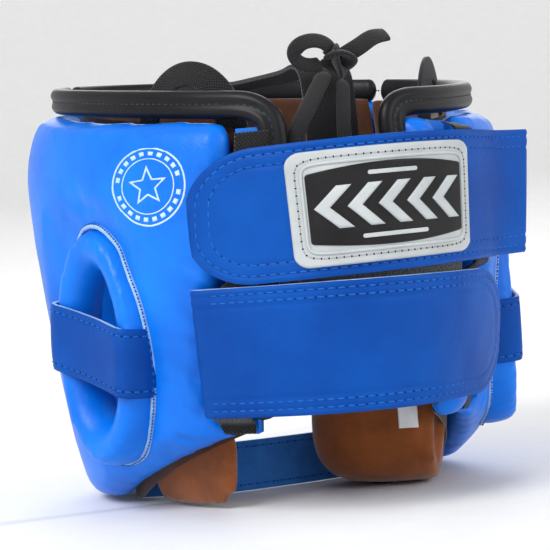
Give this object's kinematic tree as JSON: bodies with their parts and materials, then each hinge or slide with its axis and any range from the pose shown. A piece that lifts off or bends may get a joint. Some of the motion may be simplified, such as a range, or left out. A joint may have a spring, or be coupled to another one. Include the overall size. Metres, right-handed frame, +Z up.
{
  "type": "boxing headgear",
  "caption": "Padded leather boxing headgear with ear rings, cheek pads, a crossed two-strap rear closure, a chin strap and a laced crown strap.",
  "frame": {"origin": "on the floor, under the middle of the outer box", "axes": "+Z up, -Y the way the face looks, +X the wearer's left"},
  "size_m": [0.2462, 0.2582, 0.2204],
  "materials": {
    "blue_leather": "glossy",
    "strap_leather": "semi-gloss",
    "suede_lining": "matte",
    "foam": "matte",
    "black_binding": "semi-gloss",
    "black_webbing": "matte",
    "hook_loop": "matte",
    "white_badge": "satin",
    "black_badge": "satin",
    "white_label": "matte"
  },
  "bodies": {
    "shell": {"chin_loop_tape": "hook_loop", "chin_strap_anchor": "strap_leather", "chin_tab": "strap_leather", "crown_strap": "black_webbing", "forehead_binding": "black_binding", "forehead_cover": "blue_leather", "forehead_foam": "foam", "forehead_lining": "suede_lining", "lace_bow": "black_webbing", "lace_knot": "black_webbing", "lace_left_leg": "black_webbing", "lace_right_leg": "black_webbing", "lace_tail": "black_webbing", "left_binding": "black_binding", "left_cheek_lining": "suede_lining", "left_cheek_pad": "blue_leather", "left_crown_loop": "black_webbing", "left_ear_band": "blue_leather", "left_ear_ring": "blue_leather", "left_neck_pad": "suede_lining", "left_side_cover": "blue_leather", "left_side_foam": "foam", "left_side_lining": "suede_lining", "left_strap_bar": "black_webbing", "left_strap_channel": "blue_leather", "lower_loop_tape": "hook_loop", "lower_strap_root": "strap_leather", "right_binding": "black_binding", "right_cheek_lining": "suede_lining", "right_cheek_pad": "blue_leather", "right_crown_loop": "black_webbing", "right_ear_band": "blue_leather", "right_ear_ring": "blue_leather", "right_neck_pad": "suede_lining", "right_rear_pad": "blue_leather", "right_side_cover": "blue_leather", "right_side_foam": "foam", "right_side_lining": "suede_lining", "right_strap_bar": "black_webbing", "right_strap_channel": "blue_leather", "size_label": "white_label", "upper_loop_tape": "hook_loop", "upper_strap_root": "strap_leather"},
    "upper_strap": {"upper_strap_flap": "strap_leather", "upper_hook_tape": "hook_loop", "badge_base": "white_badge", "badge_frame": "white_badge", "badge_panel": "black_badge", "badge_motif": "white_badge"},
    "lower_strap": {"lower_strap_flap": "strap_leather", "lower_hook_tape": "hook_loop"},
    "chin_strap": {"chin_strap": "strap_leather", "chin_hook_tape": "hook_loop"}
  },
  "joints": [
    {"name": "upper_strap_peel", "type": "hinge", "parent": "shell", "child": "upper_strap", "pos_m": [-0.09228, 0.06221, 0.1075], "axis": [-0.059, 0.0441, 0.9973], "range_deg": [0, 120]},
    {"name": "lower_strap_peel", "type": "hinge", "parent": "shell", "child": "lower_strap", "pos_m": [0.06984, 0.06735, 0.0508], "axis": [-0.0786, -0.0834, -0.9934], "range_deg": [0, 120]},
    {"name": "chin_strap_swing", "type": "hinge", "parent": "shell", "child": "chin_strap", "pos_m": [0.06598, -0.02781, 0], "axis": [0, 0, 1], "range_deg": [0, 55]}
  ]
}
